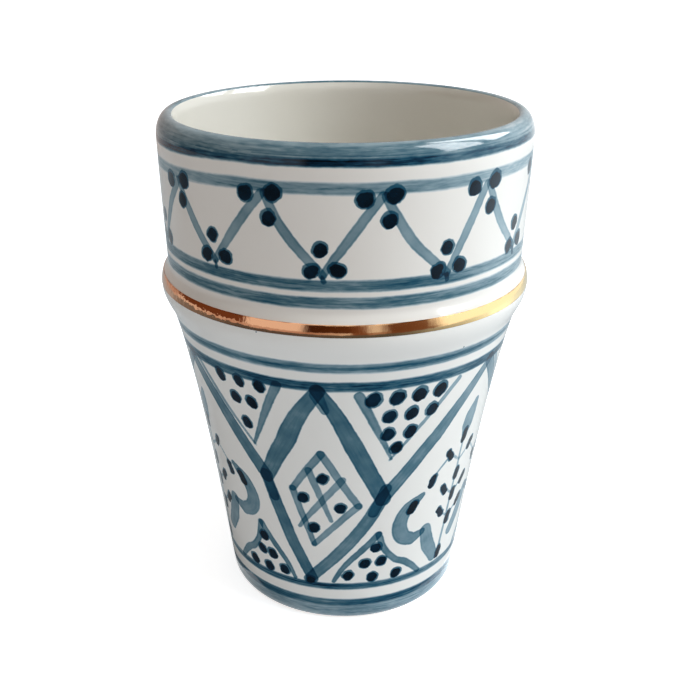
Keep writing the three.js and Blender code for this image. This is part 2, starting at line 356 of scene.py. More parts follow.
smooth = add(wheel, "GeometryNodeSetShadeSmooth", feeds={"Geometry": closed})
end_tree(wheel, smooth, given["Material"])

# %% [markdown]
# ## Brush marks that know their distance
# The paint sank into the wet glaze, so it has no thickness and shares the glaze's gloss. Decals on top
# would catch the light at their edges. Here each mark is a row of points on the wall, with the brush's
# half width and how much colour it carried. The tree repeats one panel round the cup, lets the hand shake
# a little, lets the lip's colour dip by a millimetre at one side, and then writes on every point of the
# coat how far it is from the nearest mark's edge. The material turns that distance into colour, so the
# edges stay crisp at any size.

# %% Tree: brush marks, repeated round the cup
brush, given = begin_tree("brush marks", {
    "Marks": ("Object", None), "Layer": ("String", "marks"), "Repeats": ("Int", 3),
    "Shake": ("Float", 0.0003), "Seed": ("Int", 1), "Hand": ("Int", 40), "Dip": ("Float", 0.001),
    "Material": ("Material", None),
})
marks = add(brush, "GeometryNodeObjectInfo", feeds={"Object": given["Marks"]})
number = add(brush, "GeometryNodeInputIndex")
share = calc(brush, "DIVIDE", 2 * math.pi, given["Repeats"])
turn = vector_of(brush, Z=calc(brush, "MULTIPLY", number, share))
turn = add(brush, "FunctionNodeEulerToRotation", feeds={0: turn})
centres = add(brush, "GeometryNodePoints", feeds={"Count": given["Repeats"]})
ring = add(brush, "GeometryNodeInstanceOnPoints", feeds={
    "Points": centres, "Instance": in_use(marks.outputs, "Geometry"), "Rotation": turn})
numbered = written(brush, "INT", "INSTANCE", ring, "panel", number)
laid = add(brush, "GeometryNodeRealizeInstances", feeds={"Geometry": numbered})
print("nodes for the repeats:", len(brush.nodes))

# %% Tree: brush marks, with the hand's shake, bow, sway and dip
DIP_SIDE = (-0.034, -0.02)    # metres to the right of the axis
DIP_TOP = (0.095, 0.1)        # metres above the table
here = add(brush, "GeometryNodeInputPosition")
sideways = calc_vector(brush, "NORMALIZE", calc_vector(brush, "CROSS_PRODUCT", (0, 0, 1), here))
tremor = noise(brush, here, 0.009, 1.0, given["Seed"])
tremor = parts_of(brush, in_use(tremor.outputs, "Color"))
repeat = noted(brush, "INT", "panel")
mood = add(brush, "FunctionNodeRandomValue", {"data_type": "FLOAT"}, {"ID": repeat, "Seed": given["Seed"]})
aim = add(brush, "FunctionNodeRandomValue", {"data_type": "FLOAT"}, {
    "Min": -1.0, "Max": 1.0, "ID": repeat, "Seed": given["Hand"]})
bow = calc(brush, "MULTIPLY", noted(brush, "FLOAT", "bow"), mood)
sway = calc(brush, "MULTIPLY", noted(brush, "FLOAT", "sway"), aim)
aside = calc(brush, "ADD", bow, sway)
spread = parts_of(brush, here)
left = ranged(brush, spread["X"], *DIP_SIDE, 1, 0)
high = ranged(brush, spread["Z"], *DIP_TOP, 0, -1)
dipped = calc(brush, "MULTIPLY", left, high)
below = calc(brush, "MULTIPLY_ADD", dipped, given["Dip"], calc(brush, "MULTIPLY", sway, -0.45))
slip = calc(brush, "MULTIPLY_ADD", ranged(brush, tremor["X"], 0, 1, -1, 1), given["Shake"], aside)
rise = calc(brush, "MULTIPLY_ADD", ranged(brush, tremor["Y"], 0, 1, -1, 1), given["Shake"], below)
shaken = calc_vector(brush, "MULTIPLY_ADD", sideways, slip, vector_of(brush, Z=rise))
drawn = add(brush, "GeometryNodeSetPosition", feeds={"Geometry": laid, "Offset": shaken})
print("nodes for repeats and hand:", len(brush.nodes))

# %% Tree: brush marks, written on the coat
nearest = add(brush, "GeometryNodeSampleNearest", {"domain": "POINT"}, {"Geometry": drawn})
found = {}
FACTS = {"position": "FLOAT_VECTOR", "half_width": "FLOAT", "load": "FLOAT", "run": "FLOAT"}
for fact, kind in FACTS.items():
    found[fact] = sampled(brush, kind, drawn, noted(brush, kind, fact), nearest)
away = calc_vector(brush, "DISTANCE", here, found["position"]).outputs["Value"]
edge = calc(brush, "MULTIPLY", calc(brush, "SUBTRACT", away, found["half_width"]), 1000)
note = vector_of(brush, X=edge, Y=found["load"], Z=found["run"])
painted = written(brush, "FLOAT_VECTOR", "POINT", given["Geometry"], given["Layer"], note)
end_tree(brush, painted, given["Material"])

# %% [markdown]
# ## The brush
# A stroke is a few knots on the wall, each an angle round the cup in degrees, with 0 facing the camera,
# and a height in millimetres. A smooth curve joins them. The width may swell and thin along the way, as
# a soft brush does when the hand leans on it. A dot is a very short stroke, and it is pressed twice: the
# wet halo that the brush leaves at once, and the heart where the colour settles.

# %% Draw strokes and dots
STITCH = 0.25    # mm between a stroke's points
layers = {}


def round_the_cup(turn, reach, height):
    """The place at that angle, distance from the axis and height."""
    return reach * math.sin(math.radians(turn)), -reach * math.cos(math.radians(turn)), height


def stroke(layer, knots, width, load=0.6, axis=0.0, bow=0.0, sway=(0, 0)):
    """Adds a stroke's points to a layer: place, half width, load of colour, run, bow and sway."""
    flat = math.radians(1) * radius_at(np.mean([z for _, z in knots]))
    line = smooth_line([(turn * flat, z) for turn, z in knots], STITCH)
    part = lengths_along(line) / lengths_along(line)[-1]
    widths = np.interp(part, np.linspace(0, 1, len(np.atleast_1d(width))), np.atleast_1d(width))
    points = layers.setdefault(layer, [])
    start = len(points) * STITCH
    for (x, z), t, wide in zip(line, part, widths):
        spot = round_the_cup(x / flat + axis, radius_at(z) / 1000, z / 1000)
        points.append((spot, wide / 2000, load, start + t * len(line) * STITCH,
                       bow / 1000 * math.sin(math.pi * t), np.interp(t, (0, 1), sway) / 1000))


def dot(place, turn, height, across, long=0.3, lean=0.0, axis=0.0, sway=0.0):
    """A press of the brush: a pale halo, and its dark heart a little lower. It leans from the level."""
    flat = math.radians(1) * radius_at(height)
    dx, dz = long / 2 * math.cos(math.radians(lean)) / flat, long / 2 * math.sin(math.radians(lean))
    for part, share, drop, load in (("_halos", 1.0, 0.0, 0.46), ("_hearts", 0.79, 0.05, 0.9)):
        z = height - drop * across
        ends = [(turn - dx, z - dz), (turn + dx, z + dz)]
        stroke(place + part, ends, share * across, load, axis, 0, (sway, sway))


print("points in a stroke of 10 mm:", round(10 / STITCH) + 1)

# %% [markdown]
# ## Bands and lines
# The potter spun the cup and held the brush still, so the bands are level and streaked along their
# length. Their heights are those of the painted solids. Darker lines lie on some of them where the brush
# was lifted: under the lip, in the upper shoulder band and along the top of the foot band. The lip's wash
# takes two rings, one outside and one on the crest, so that it goes over the lip all round.

# %% Bands
BAND_REPEATS = 36
HALF_PIECE = 5.2    # degrees, a little over half of a thirty-sixth
BAND_LOADS = {
    "frieze_top_band": 0.33, "frieze_base_band_upper": 0.51, "frieze_base_band_lower": 0.47,
    "shoulder_band_upper": 0.37, "shoulder_band_lower": 0.66, "foot_line": 0.54, "foot_band": 0.36,
}
WASH_LOAD = 0.35


def ring_round(layer, bottom, top, load):
    """One piece of a band round the cup, which the tree repeats."""
    middle = (bottom + top) / 2
    stroke(layer, [(-HALF_PIECE, middle), (HALF_PIECE, middle)], top - bottom, load)


def height_of(node):
    """The lowest and highest point of a painted node, in mm."""
    return [p.z * 1000 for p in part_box(node)]


for node, load in BAND_LOADS.items():
    ring_round("neck_bands" if node.startswith("frieze") else "wall_bands", *height_of(node), load)

wash_middle = crest_height - 0.6
wash_reach = wash_middle - height_of("lip_wash")[0] + 0.4
ring_round("neck_bands", wash_middle - wash_reach, wash_middle + wash_reach, WASH_LOAD)
ring_round("neck_bands", crest_height - 1.8, crest_height + 1.8, WASH_LOAD)
rim_low, rim_high = height_of("rim_line")
ring_round("neck_lines", rim_low, rim_high, 0.73)
ring_round("neck_lines", rim_high + 0.2, rim_high + 2.2, 0.1)
shoulder_low, shoulder_high = height_of("shoulder_band_upper")
ring_round("wall_lines", shoulder_low + 0.7, shoulder_high - 0.8, 0.35)
foot_top = height_of("foot_band")[1]
ring_round("wall_lines", foot_top - 1.7, foot_top + 0.1, 0.38)
print({layer: len(points) for layer, points in layers.items()})

# %% [markdown]
# ## Frieze on the neck
# Eleven tents stand side by side between two bands. One is drawn, with a loose stroke down and a straight
# one up again, and dots where the strokes meet. Some of the down strokes sag, so that stroke carries a bow.
# The hand didn't measure either, so the lower dots carry a sway. The tree gives each repeat its own share.

# %% One tent of the frieze
FRIEZE_REPEATS = 11
FRIEZE_TURN = 10.0
FRIEZE_SWAY = 1.8
stroke("frieze_falling", [(1.0, 100.9), (8.8, 93.4), (18.2, 85.5)], (1.7, 2.1, 1.7), 0.33,
       FRIEZE_TURN, bow=-1.5, sway=(0, FRIEZE_SWAY))
stroke("frieze_rising", [(18.1, 85.6), (24.4, 92.3), (28.4, 96.4), (32.9, 100.8)], (1.5, 2.0, 1.8), 0.33,
       FRIEZE_TURN, sway=(FRIEZE_SWAY, 0))
stroke("frieze_hearts", [(18.0, 85.3), (18.4, 84.2)], 0.9, 0.5,
       FRIEZE_TURN, sway=(FRIEZE_SWAY, FRIEZE_SWAY))
for turn, height, across, lean in ((-4.6, 100.6, 3.6, 20), (3.6, 101.2, 3.7, 40), (2.2, 96.4, 3.3, 60)):
    dot("frieze", turn, height, across, 0.3, lean, FRIEZE_TURN)
for turn, height, across, lean in ((15.0, 86.3, 3.3, 30), (22.2, 86.6, 3.4, -20), (17.6, 90.6, 3.1, 60)):
    dot("frieze", turn, height, across, 0.3, lean, FRIEZE_TURN, FRIEZE_SWAY)
print({layer: len(points) for layer, points in layers.items() if layer.startswith("frieze")})

# %% [markdown]
# ## Panel on the wall
# Three large lozenges and three tents between them go round the wall. The strokes that fall to the right
# and those that rise are kept in separate layers, because the colour is darker where two of them cross.
# Broad and thin strokes are separate too, since a point of the coat knows only the nearest mark.

# %% Large lozenge and tents
PANEL_REPEATS = 3
AXIS_TURN = -8.0


def panel(layer, knots, width, load=0.6):
    stroke(layer, knots, width, load, AXIS_TURN)


panel("panel_falling", [(-54, 61.2), (-38, 49.8), (-22.6, 38.0)], (3.4, 3.6, 3.4), 0.46)
panel("panel_rising", [(-22.6, 37.6), (-12.5, 48.4), (-6, 56.0), (0.2, 61.2)], (3.4, 4.3, 3.0), 0.45)
panel("panel_falling", [(-0.6, 61.4), (6.5, 54.4), (12.4, 46.9), (19.1, 38.9), (23.8, 33.4)],
      (2.9, 4.0, 3.6), 0.48)
panel("panel_rising", [(23.0, 33.0), (34.5, 41.2), (46.3, 49.2), (57.3, 56.5), (66, 61.6)],
      (3.1, 3.5, 2.6), 0.44)
panel("panel_falling", [(-22.8, 38.0), (-18.1, 29.1), (-12.6, 20.1), (-5.6, 11.6)], (3.0, 3.0, 2.6), 0.48)
panel("panel_rising", [(-7.2, 11.2), (5, 18.5), (15.4, 25.6), (24.2, 34.0)], (2.5, 3.0, 3.2), 0.42)
print("points of falling and rising strokes:", len(layers["panel_falling"]), len(layers["panel_rising"]))

# %% Pools where two broad strokes meet
panel("fine_rising", [(-22.8, 38.0), (-20.2, 32.6)], (2.6, 2.4), 0.4)
panel("fine_falling", [(25.0, 36.2), (20.2, 30.2)], (2.6, 2.4), 0.4)
panel("fine_falling", [(-0.4, 60.2), (2.0, 56.4)], (3.0, 1.8), 0.3)
dot("panel", -6.4, 11.3, 2.2, 0.3, 60, AXIS_TURN)
print("points of pools:", len(layers["fine_rising"]), len(layers["fine_falling"]))

# %% Small lozenge with a cross
TOP, LEFT, RIGHT, BOTTOM = (0.1, 45.6), (-11.6, 36.0), (14.2, 32.2), (-4.1, 21.5)
panel("fine_rising", [LEFT, TOP], (1.5, 1.9), 0.34)
panel("fine_falling", [TOP, RIGHT], (1.9, 1.6), 0.34)
panel("fine_falling", [LEFT, BOTTOM], (1.7, 1.3), 0.34)
panel("fine_rising", [BOTTOM, RIGHT], (1.3, 1.8), 0.32)
panel("fine_falling", [(-4.9, 41.2), (3.6, 28.2)], (1.7, 1.5, 0.9), 0.32)
panel("fine_rising", [(-9.8, 26.0), (7.8, 39.2)], (0.9, 1.6, 1.7), 0.32)
for turn, height in ((0.5, 39.4), (-7.6, 33.9), (7.2, 31.8), (-3.8, 26.1)):
    dot("panel", turn, height, 2.8, 0.4, 75, AXIS_TURN)
print("points of thin strokes:", len(layers["fine_rising"]), len(layers["fine_falling"]))

# %% [markdown]
# ## Fillings between the strokes
# The corners are filled with small motifs on both sides of the lozenge: a hanging triangle of dots, a
# scroll and a scalloped triangle at the foot. One side is drawn and the other is its mirror image, moved
# by the bit that the potter's hand was off.

# %% Fillings on one side
def filling(side, rows, hang=(0, 0, 1), scroll=(0, 0, 1), scallop=(0, 0, 1)):
    """One side's motifs, each moved by degrees away from the lozenge and by mm upwards, and narrowed."""
    thin = ("fine_falling", "fine_rising") if side > 0 else ("fine_rising", "fine_falling")

    def at(move, *spots):
        aside, upward, narrow = move
        return [(side * (turn * narrow + aside), height + upward) for turn, height in spots]

    def press(move, turn, height, *size, lean):
        dot("panel", *at(move, (turn, height))[0], *size, lean * side, AXIS_TURN)

    panel(thin[0], at(hang, (13.0, 60.2), (25.6, 43.8)), (2.2, 1.7, 0.7), 0.36)
    panel(thin[1], at(hang, (49.0, 60.4), (25.0, 43.6)), (1.3, 1.0, 0.6), 0.3)
    for count, height, first, gap, across in rows:
        for i in range(count):
            press(hang, first + i * gap, height, across, 0.5, lean=60)

    panel("panel_falling", at(scroll, (41.6, 32.2), (37.2, 30.4), (33.7, 28.2), (32.3, 25.2), (34.4, 22.3),
                              (39.1, 20.8), (44.4, 21.8)), (1.4, 3.4, 3.5, 3.8, 3.6, 1.8), 0.4)
    panel("panel_rising", at(scroll, (46.2, 21.8), (49.4, 17), (54.8, 12.6)), (3.2, 3.8, 3.0), 0.38)
    press(scroll, 37.4, 29.6, 2.3, 2.0, lean=60)

    panel(thin[1], at(scallop, (4.2, 11.3), (9.4, 15.8), (16.9, 20.4), (22.8, 24.0)), (1.0, 1.5, 1.8), 0.42)
    panel(thin[0], at(scallop, (23.2, 24.2), (25.2, 20.9), (27.9, 18.5), (32.1, 16.2), (37.4, 14.7),
                      (45.3, 10.6)), (1.6, 1.5, 1.8, 1.3), 0.4)
    for turn, height in ((22.4, 20.6), (17.7, 16.3), (25.2, 16.6), (10.5, 12.9), (21.3, 12.3), (33, 12.3)):
        press(scallop, turn, height, 2.8, 0.4, lean=70)


# %% Fillings on both sides
RIGHT_ROWS = [(4, 59.2, 17.7, 7.9, 3.6), (3, 54.7, 23.6, 7.8, 3.2), (2, 50.2, 23.6, 8.3, 3.2),
              (1, 46.6, 27.2, 0, 3.0)]
LEFT_ROWS = [(3, 59.0, 19.6, 8.2, 3.0), (2, 54.6, 23.8, 6.8, 3.0), (1, 49.0, 27.4, 0, 2.9)]
filling(1, RIGHT_ROWS)
filling(-1, LEFT_ROWS, hang=(0.4, 1.4, 1), scroll=(-0.6, 4.6, 1), scallop=(10.6, -0.4, 0.8))
print({name: len(points) for name, points in layers.items()})

# %% [markdown]
# ## Sprig in each tent
# A stem stands in the tent, with pairs of leaves that hang from it like fruit. The stem is a pale hair
# line, and each leaf is one press of a loaded brush.

# %% Sprig
SPRIG = 61.0
panel("fine_rising", [(SPRIG - 3, 11.8), (SPRIG - 1, 28), (SPRIG, 45)], (0.9, 0.7), 0.3)
panel("panel_rising", [(SPRIG - 0.2, 43), (SPRIG + 1, 47.5), (SPRIG + 3.4, 51.6)], (1.6, 4.2, 4.2, 1.8), 0.38)
for turn, height in ((0, 21.8), (0, 28.2), (0, 33.8), (0.2, 43.6), (-2.8, 13.0)):
    dot("panel", SPRIG + turn, height, 2.2, 1.8, 80, AXIS_TURN)
for side in (-1, 1):
    for height in (25, 31, 40):
        panel("fine_falling", [(SPRIG, height - 2.6), (SPRIG + side * 7, height)], 0.65, 0.28)
        dot("panel", SPRIG + side * 7, height, 2.1, 1.8, 90 - 35 * side, AXIS_TURN)
    panel("fine_falling", [(SPRIG + side * 7, 40), (SPRIG + side * 15, 36)], 0.65, 0.28)
    dot("panel", SPRIG + side * 15, 35, 2.2, 1.8, 90 + 20 * side, AXIS_TURN)
print("marks in all:", sum(len(points) for points in layers.values()))

# %% [markdown]
# ## Materials
# Colours are written as sRGB hex values, as a paint chart or a picture editor gives them, and Blender
# wants linear light, so one function converts them. Object coordinates are in metres, so each pattern's
# size is its real size in metres.

# %% Colours
PIGMENT = {
    0.0: "#F0EFEC", 0.09: "#D0DADF", 0.25: "#8FA8B4", 0.44: "#527686", 0.62: "#22546C", 0.78: "#073049",
    1.0: "#000F1C",
}


def colour(code):
    """An sRGB hex value as linear light."""
    parts = [int(code[i:i + 2], 16) / 255 for i in (1, 3, 5)]
    return [c / 12.92 if c <= 0.04045 else ((c + 0.055) / 1.055) ** 2.4 for c in parts] + [1]


def begin_material(name, roughness, metallic=0.0, specular=0.5):
    """A material with these constants, its tree and its shader's inputs."""
    made = bpy.data.materials.new(name)
    made.use_nodes = True
    shader = made.node_tree.nodes["Principled BSDF"].inputs
    shader["Roughness"].default_value = roughness
    shader["Metallic"].default_value = metallic
    shader["Specular IOR Level"].default_value = specular
    return made, made.node_tree, shader


def end_material(made, tree, shader, tint, bump):
    tree.links.new(tint, shader["Base Color"])
    tree.links.new(bump.outputs["Normal"], shader["Normal"])
    print("material:", made.name, "nodes:", len(tree.nodes))


def mixed(tree, factor, first, second, blend="MIX"):
    node = add(tree, "ShaderNodeMix", {"data_type": "RGBA", "blend_type": blend}, {
        "Factor": factor, "A": first, "B": second})
    return in_use(node.outputs, "Result")


print("the glaze's white in linear light:", [round(c, 3) for c in colour(PIGMENT[0.0])])

# %% [markdown]
# ## Painted tin glaze
# The glaze is a white, glassy coat, and the colour is cobalt softened with iron that melted into it. Thin
# washes look blue-grey, two layers look deep blue, and a full drop is almost black. So each layer takes its
# share of the light that the others leave, and one ramp turns what is taken into colour. Washes are
# blotched and a little darker where they pooled at their edges, and dots have a dark heart with a paler
# rim. Washes and bands are painted paler towards the lit right side as painted light, and a little paler
# to the left. On the neck a warm painted shade darkens white and colour alike, most on the left.

# %% Tin glaze ground
def glaze_ground(tree):
    """The place in the cup, and the glaze's few iron specks and slow swell there."""
    place = add(tree, "ShaderNodeTexCoord").outputs["Object"]
    swell = add(tree, "ShaderNodeBump", feeds={
        "Height": noise(tree, place, 0.007, 1.0), "Strength": 0.12, "Distance": 0.0003})
    cells = add(tree, "ShaderNodeTexVoronoi", feeds={"Vector": place, "Scale": 1 / 0.008})
    grain = calc(tree, "LESS_THAN", cells.outputs["Distance"], 0.022)
    pick = calc(tree, "GREATER_THAN", parts_of(tree, cells.outputs["Color"])["X"], 0.72)
    return place, calc(tree, "MULTIPLY", calc(tree, "MULTIPLY", grain, pick), 0.45), swell


def streaks(tree, place, stretched, detail, change):
    """A factor about 1 that changes slowly along one way of the place and fast across it."""
    drawn_out = calc_vector(tree, "MULTIPLY", place, stretched)
    return ranged(tree, noise(tree, drawn_out, 1.0, detail), 0.3, 0.7, 1 - change, 1 + change)


# Each is a stretch of the place, the noise's detail and its change, for coarse, dry and pooled streaks.
BAND_STREAKS = (((60, 60, 2200), 3.0, 0.22), ((420, 420, 3000), 2.0, 0.16), ((90, 90, 400), 2.0, 0.22))
print("streaks in a band:", len(BAND_STREAKS))

# %% One layer of paint
# Soft edge and fray in mm.
EDGES = {"wash": (0.16, 0.25), "drop": (0.14, 0.7), "band": (0.34, 0.14)}
POOLED_RIM = (-0.6, -0.2, 1.0, 1.12)    # mm from the edge, and what the colour is multiplied by


def laid_colour(tree, layer, kind, ragged, tone):
    """How much colour one layer of marks lays down: a wash, a drop or a band."""
    mark = add(tree, "ShaderNodeAttribute", {"attribute_name": layer})
    facts = parts_of(tree, mark.outputs["Vector"])
    soft, fray = EDGES[kind]
    edge = calc(tree, "MULTIPLY_ADD", ragged, fray, facts["X"])
    cover = ranged(tree, edge, -soft, soft, 1.0, 0.0, interpolation_type="SMOOTHSTEP")
    if kind == "wash":
        hairs = streaks(tree, vector_of(tree, X=facts["Z"], Y=facts["X"]), (0.1, 1.6, 0), 2.0, 0.06)
        rim = ranged(tree, edge, *POOLED_RIM, interpolation_type="SMOOTHSTEP")
        tone = calc(tree, "MULTIPLY", calc(tree, "MULTIPLY", tone, hairs), rim)
    return calc(tree, "MULTIPLY", calc(tree, "MULTIPLY", cover, facts["Y"]), tone)


print("kinds of mark:", list(EDGES))

# %% Painted tin glaze
# Each is two places in metres to the right of the axis, and the factor at each.
# Washes and bands are painted paler towards the lit right side, as painted light, and a little paler to the
# left.
PALER_ON_LIT_RIGHT = (0.012, 0.034, 1.0, 0.7)
PALER_ON_LEFT = (-0.032, -0.012, 0.86, 1.0)
# Where the neck's painted shade is at its full strength, on the left, and where it falls to 0.4 on the right.
NECK_SHADE_SIDE = (0.0, 0.026, 1.0, 0.4)


def painted_glaze(name, shade_tint, marks):
    """The glaze with its layers of marks, under a warm painted shade that is strongest on the left."""
    made, tree, shader = begin_material(name, 0.09, specular=0.3)
    place, total, swell = glaze_ground(tree)
    ragged = calc(tree, "SUBTRACT", noise(tree, place, 0.0014, 1.0), 0.5)
    blotch = ranged(tree, noise(tree, place, 0.004, 3.0), 0.3, 0.7, 0.87, 1.13)
    coarse, dry, pooled = (streaks(tree, place, *streak) for streak in BAND_STREAKS)
    spun = calc(tree, "MULTIPLY", calc(tree, "MULTIPLY", coarse, dry), pooled)
    side = parts_of(tree, place)["X"]
    # Painted light: less colour towards the lit right side, and a little less to the left.
    paler_at_sides = calc(tree, "MULTIPLY", ranged(tree, side, *PALER_ON_LIT_RIGHT), ranged(tree, side, *PALER_ON_LEFT))
    for layer, kind in marks.items():
        laid = laid_colour(tree, layer, kind, ragged, spun if kind == "band" else blotch)
        if kind != "drop":
            laid = calc(tree, "MULTIPLY", laid, paler_at_sides)
        total = calc(tree, "MULTIPLY_ADD", laid, calc(tree, "SUBTRACT", 1.0, total), total)
    ramp = add(tree, "ShaderNodeValToRGB", feeds={0: total})
    stops = ramp.color_ramp.elements
    for position, code in PIGMENT.items():
        stop = stops[0] if position == 0 else stops[-1] if position == 1 else stops.new(position)
        stop.color = colour(code)
    tint = mixed(tree, ranged(tree, side, *NECK_SHADE_SIDE), ramp.outputs["Color"], shade_tint, "MULTIPLY")
    end_material(made, tree, shader, tint, swell)
    return made


# %% Paint for the neck and the wall
NECK_MARKS = {
    "neck_bands": "band", "neck_lines": "band", "frieze_falling": "wash", "frieze_rising": "wash",
    "frieze_halos": "drop", "frieze_hearts": "drop",
}
WALL_MARKS = {
    "wall_bands": "band", "wall_lines": "band", "panel_falling": "wash", "panel_rising": "wash",
    "fine_falling": "wash", "fine_rising": "wash", "panel_halos": "drop", "panel_hearts": "drop",
}
# The neck's colour is multiplied by a warm, darker tint: painted shade, strongest on the left. The wall's
# tint is plain white.
neck_paint = painted_glaze("painted tin glaze on the neck", (0.92, 0.885, 0.86, 1), NECK_MARKS)
wall_paint = painted_glaze("painted tin glaze on the wall", (1, 1, 1, 1), WALL_MARKS)

# %% [markdown]
# ## White glaze, clay and gold
# Inside and under the floor the glaze is bare, painted darker and warmer than outside as shade, and a shade
# warmer at random where it lies thicker. The foot ring was wiped clean before firing, and shows sandy, matt
# clay. The gold is a lustre brushed on last: a film of real metal as smooth as the glaze below it, painted
# coppery on the left and pale yellow on the window side as painted reflection, and brown at its edges.

# %% White tin glaze
white_glaze, tree, shader = begin_material("white tin glaze", 0.1, specular=0.35)
place, specks, swell = glaze_ground(tree)
thick = noise(tree, place, 0.03, 1.0)
# Painted shade: both whites are darker and warmer than the outside's glaze, for the shade in and under the
# cup. The noise picks between them at random, and the specks are iron.
tint = mixed(tree, specks, mixed(tree, thick, colour("#E5E3DD"), colour("#DFDCD3")), colour("#6B5A48"))
end_material(white_glaze, tree, shader, tint, swell)

# %% Sandy clay
sandy_clay, tree, shader = begin_material("unglazed earthenware", 0.85)
place = add(tree, "ShaderNodeTexCoord").outputs["Object"]
sand = noise(tree, place, 0.0006, 3.0)
fired = mixed(tree, noise(tree, place, 0.012, 2.0), colour("#D9BE9C"), colour("#C4A27C"))
tint = mixed(tree, 0.35, fired, in_use(sand.outputs, "Color"), "OVERLAY")
grit = add(tree, "ShaderNodeBump", feeds={"Height": sand, "Strength": 0.5, "Distance": 0.0002})
end_material(sandy_clay, tree, shader, tint, grit)

# %% Gold lustre
gold_lustre, tree, shader = begin_material("gold lustre", 0.12, 1.0)
place = add(tree, "ShaderNodeTexCoord").outputs["Object"]
chart = add(tree, "ShaderNodeUVMap", {"uv_map": "OFBake"})
hem = calc(tree, "PINGPONG", parts_of(tree, chart)["Y"], 0.46)
worn = calc(tree, "MULTIPLY_ADD", noise(tree, place, 0.004, 3.0), 0.24, hem)
hem = ranged(tree, worn, 0.08, 0.16, 0.8, 0.0)
side = parts_of(tree, place)["X"]
# Painted reflection: the gold is coppery on the left and pale yellow on the window side, set by the distance
# to the right of the axis. The roughness follows the same side.
window_side = ranged(tree, side, -0.01, 0.03, 0.0, 1.0)
tint = mixed(tree, hem, mixed(tree, window_side, colour("#EFB38A"), colour("#F2D49A")), colour("#7A4A2A"))
smear = ranged(tree, window_side, 0.0, 1.0, 0.07, 0.13)
tree.links.new(smear.outputs["Result"], shader["Roughness"])
wrinkle = noise(tree, calc_vector(tree, "MULTIPLY", chart, (190, 1.5, 0)), 1.0, 2.0)
wrinkle = calc(tree, "MULTIPLY", wrinkle, ranged(tree, side, -0.028, -0.012, 1.0, 0.12))
ripple = add(tree, "ShaderNodeBump", feeds={
    "Height": noise(tree, place, 0.005, 1.0), "Strength": 0.25, "Distance": 0.0003})
ripple = add(tree, "ShaderNodeBump", feeds={
    "Height": wrinkle, "Strength": 0.7, "Distance": 0.0002, "Normal": ripple})
end_material(gold_lustre, tree, shader, tint, ripple)

# %% [markdown]
# ## Making the coats
# Each coat starts as its outline, a bare string of points with a note of how far along it each one lies.
# The trees turn it and paint it. Then the result is kept as a plain mesh and the modifiers go, so that the
# renderer and anything else see the same mesh. The volume tells whether the faces point outwards.

# %% Turn an outline into a piece
SHOWN, HIDDEN = 0.93, 0.94    # where on the UV map's height the side that shows ends and the back begins


def set_inputs(obj, tree, **values):
    modifier = obj.modifiers.new(tree.name, "NODES")
    modifier.node_group = tree
    for item in tree.interface.items_tree:
        if item.in_out == "INPUT" and item.name in values:
            modifier[item.identifier] = values[item.name]


def outline_object(name, front, back):
    """The outline as a mesh: what shows takes most of the UV map's height, and the back a thin strip."""
    line = np.concatenate([front, back, front[:1]]) if len(back) else front
    strip = SHOWN * lengths_along(front) / lengths_along(front)[-1]
    if len(back):
        strip = np.concatenate([strip, np.linspace(HIDDEN, 1, len(back) + 1)])
    mesh = bpy.data.meshes.new(name)
    sides = [(i, i + 1) for i in range(len(line) - 1)]
    mesh.from_pydata([(r / 1000, 0, z / 1000) for r, z in line], sides, [])
    mesh.attributes.new("strip", "FLOAT", "POINT").data.foreach_set("value", strip)
    return in_scene(name, mesh)


def turned(name, section, segments, wobble, material, drift=0.0):
    """An outline with the wheel's tree on it."""
    made = outline_object(name, *section)
    set_inputs(made, wheel, Segments=segments, Wobble=wobble, Drift=drift, Seed=4, Material=material)
    return made


# %% Keep what the trees made
def keep_mesh(obj):
    """Replaces the object's outline and modifiers by the mesh that they make."""
    graph = bpy.context.evaluated_depsgraph_get()
    mesh = bpy.data.meshes.new_from_object(
        obj.evaluated_get(graph), preserve_all_data_layers=True, depsgraph=graph)
    obj.modifiers.clear()
    obj.data = mesh
    check = bmesh.new()
    check.from_mesh(mesh)
    bmesh.ops.delete(check, geom=[edge for edge in check.edges if not edge.link_faces], context="EDGES")
    check.to_mesh(mesh)
    volume = check.calc_volume(signed=True) * 1e6
    loose = sum(not edge.is_manifold for edge in check.edges)
    check.free()
    if volume < 0:
        mesh.flip_normals()
    mesh.set_sharp_from_angle(angle=math.radians(50))
    triangles = sum(len(p.vertices) - 2 for p in mesh.polygons)
    print(obj.name, "triangles:", triangles, "volume in ml:", round(abs(volume), 2), "open edges:", loose)


# %% Paint a coat
SHAKE = {"wash": 0.00035, "drop": 0.0004, "band": 0.0002}    # metres


def marks_object(layer):
    points = layers[layer]
    mesh = bpy.data.meshes.new(layer)
    mesh.from_pydata([p[0] for p in points], [], [])
    for i, fact in enumerate(("half_width", "load", "run", "bow", "sway"), 1):
        mesh.attributes.new(fact, "FLOAT", "POINT").data.foreach_set("value", [p[i] for p in points])
    return in_scene(layer, mesh)


def paint(obj, material, marks, repeats):
    """Puts each layer of marks on the coat. Bands have their own count of repeats."""
    sources = [marks_object(layer) for layer in marks]
    for seed, (source, kind) in enumerate(zip(sources, marks.values()), 1):
        set_inputs(obj, brush, Marks=source, Layer=source.name, Shake=SHAKE[kind], Seed=seed,
                   Repeats=BAND_REPEATS if kind == "band" else repeats, Material=material)
    keep_mesh(obj)
    for source in sources:
        bpy.data.objects.remove(source)


# %% Neck and wall coats
WOBBLE = 0.0001    # metres
neck_glaze = turned("neck_glaze", coat_section(run_at(SPLIT), WASH_END, 0.42), 600, WOBBLE, neck_paint)
paint(neck_glaze, neck_paint, NECK_MARKS, FRIEZE_REPEATS)
wall_glaze = turned("wall_glaze", coat_section(0, run_at(SPLIT), 0.5), 500, WOBBLE, wall_paint)
paint(wall_glaze, wall_paint, WALL_MARKS, PANEL_REPEATS)

